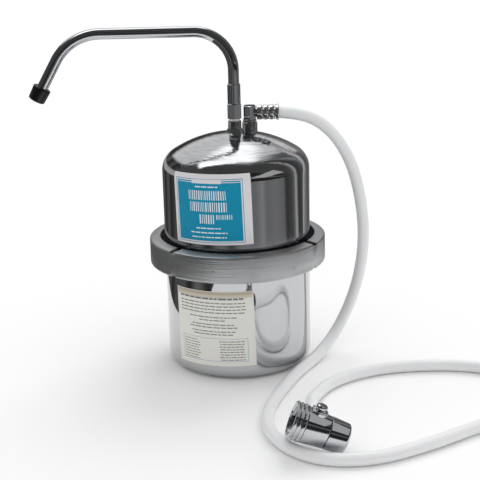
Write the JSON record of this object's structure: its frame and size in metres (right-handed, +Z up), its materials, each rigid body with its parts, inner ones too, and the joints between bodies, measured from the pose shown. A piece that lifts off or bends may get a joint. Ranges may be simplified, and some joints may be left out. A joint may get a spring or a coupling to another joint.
{
  "type": "countertop water filter",
  "caption": "Countertop water filter: drawn steel pot and dome in a band clamp, swivelling gooseneck spout, inlet elbow, and a white hose to a tap diverter with a pull knob.",
  "frame": {"origin": "on the counter, on the axis of the round housing, at the middle of its base", "axes": "+Z up along the housing; the labels face -Y; the spout reaches towards -X"},
  "size_m": [0.462, 0.3433, 0.3239],
  "materials": {
    "polished_stainless": "mirror polished drawn stainless steel",
    "satin_stainless": "satin rolled stainless strip",
    "bright_chrome": "bright chrome plated brass",
    "white_nylon": "moulded nylon",
    "black_abs": "gloss moulded ABS",
    "black_rubber": "moulded nitrile rubber",
    "grey_silicone": "moulded silicone",
    "white_vinyl": "extruded vinyl hose",
    "pressed_carbon": "pressed carbon block",
    "felt_wrap": "pleatless polypropylene felt",
    "polypropylene": "moulded polypropylene",
    "teal_label": "coated label with a plain teal field",
    "cream_label": "coated label with plain printed bars",
    "steel_mesh": "perforated stainless sheet"
  },
  "bodies": {
    "housing": {"lower_pot": "polished_stainless", "upper_dome": "polished_stainless", "upper_flange": "satin_stainless", "lower_flange": "satin_stainless", "flange_gasket": "grey_silicone", "clamp_front_segment": "satin_stainless", "outlet_port_fitting": "satin_stainless", "spout_washer": "white_nylon", "spout_gland": "bright_chrome", "inlet_port_fitting": "satin_stainless", "inlet_elbow": "bright_chrome", "check_valve": "grey_silicone", "inlet_ferrule": "bright_chrome", "hose": "white_vinyl", "carbon_block": "pressed_carbon", "prefilter_wrap": "felt_wrap", "cartridge_core_tube": "polypropylene", "cartridge_top_cap": "polypropylene", "cartridge_bottom_cap": "polypropylene", "cartridge_o_ring": "black_rubber", "upper_label": "teal_label", "lower_label": "cream_label", "diverter_body": "bright_chrome", "diverter_ferrule": "bright_chrome", "collar_washer": "black_rubber", "inlet_screen": "steel_mesh", "diverter_nozzle": "bright_chrome", "outlet_screen": "steel_mesh", "valve_bonnet": "bright_chrome"},
    "spout": {"spout_sleeve": "bright_chrome", "spout_o_rings": "black_rubber", "spout_snap_ring": "satin_stainless", "spout_tube": "bright_chrome", "spout_tip": "black_abs"},
    "clamp_left": {"clamp_left_arm": "satin_stainless"},
    "clamp_right": {"clamp_right_arm": "satin_stainless"},
    "clamp_bolt": {"clamp_t_bolt": "satin_stainless"},
    "clamp_nut_end": {"clamp_trunnion": "satin_stainless", "clamp_washer": "satin_stainless", "clamp_nut": "satin_stainless"},
    "tap_collar": {"diverter_collar": "bright_chrome"},
    "valve_knob": {"valve_stem": "satin_stainless", "diverter_knob": "bright_chrome", "valve_seal": "black_rubber"}
  },
  "joints": [
    {"name": "spout_swivel", "type": "hinge", "parent": "housing", "child": "spout", "pos_m": [0, 0, 0.2517], "axis": [0, 0, 1], "continuous": true},
    {"name": "clamp_left_hinge", "type": "hinge", "parent": "housing", "child": "clamp_left", "pos_m": [-0.06034, -0.0593, 0.1133], "axis": [0, 0, 1], "range_deg": [0, 2.5]},
    {"name": "clamp_right_hinge", "type": "hinge", "parent": "housing", "child": "clamp_right", "pos_m": [0.07198, -0.04445, 0.1133], "axis": [0, 0, 1], "range_deg": [-2.5, 0]},
    {"name": "bolt_pivot", "type": "hinge", "parent": "clamp_left", "child": "clamp_bolt", "pos_m": [-0.02583, 0.08674, 0.1133], "axis": [0, 0, 1], "range_deg": [-2.5, 0]},
    {"name": "trunnion_pivot", "type": "hinge", "parent": "clamp_right", "child": "clamp_nut_end", "pos_m": [0.00597, 0.0903, 0.1133], "axis": [0, 0, 1], "range_deg": [0, 2.5]},
    {"name": "collar_swivel", "type": "hinge", "parent": "housing", "child": "tap_collar", "pos_m": [0.0398, -0.217, 0.03036], "axis": [0.9233, -0.0322, -0.3827], "continuous": true},
    {"name": "knob_pull", "type": "slide", "parent": "housing", "child": "valve_knob", "axis": [0.3825, -0.0134, 0.9239], "range_m": [0, 0.005], "stiffness_N_per_m": 60, "springref_m": -0.003}
  ],
  "couplings": [
    {"joint": "clamp_right_hinge", "follows": "clamp_left_hinge", "ratio": -1},
    {"joint": "bolt_pivot", "follows": "clamp_left_hinge", "ratio": -1},
    {"joint": "trunnion_pivot", "follows": "clamp_left_hinge", "ratio": 1}
  ]
}
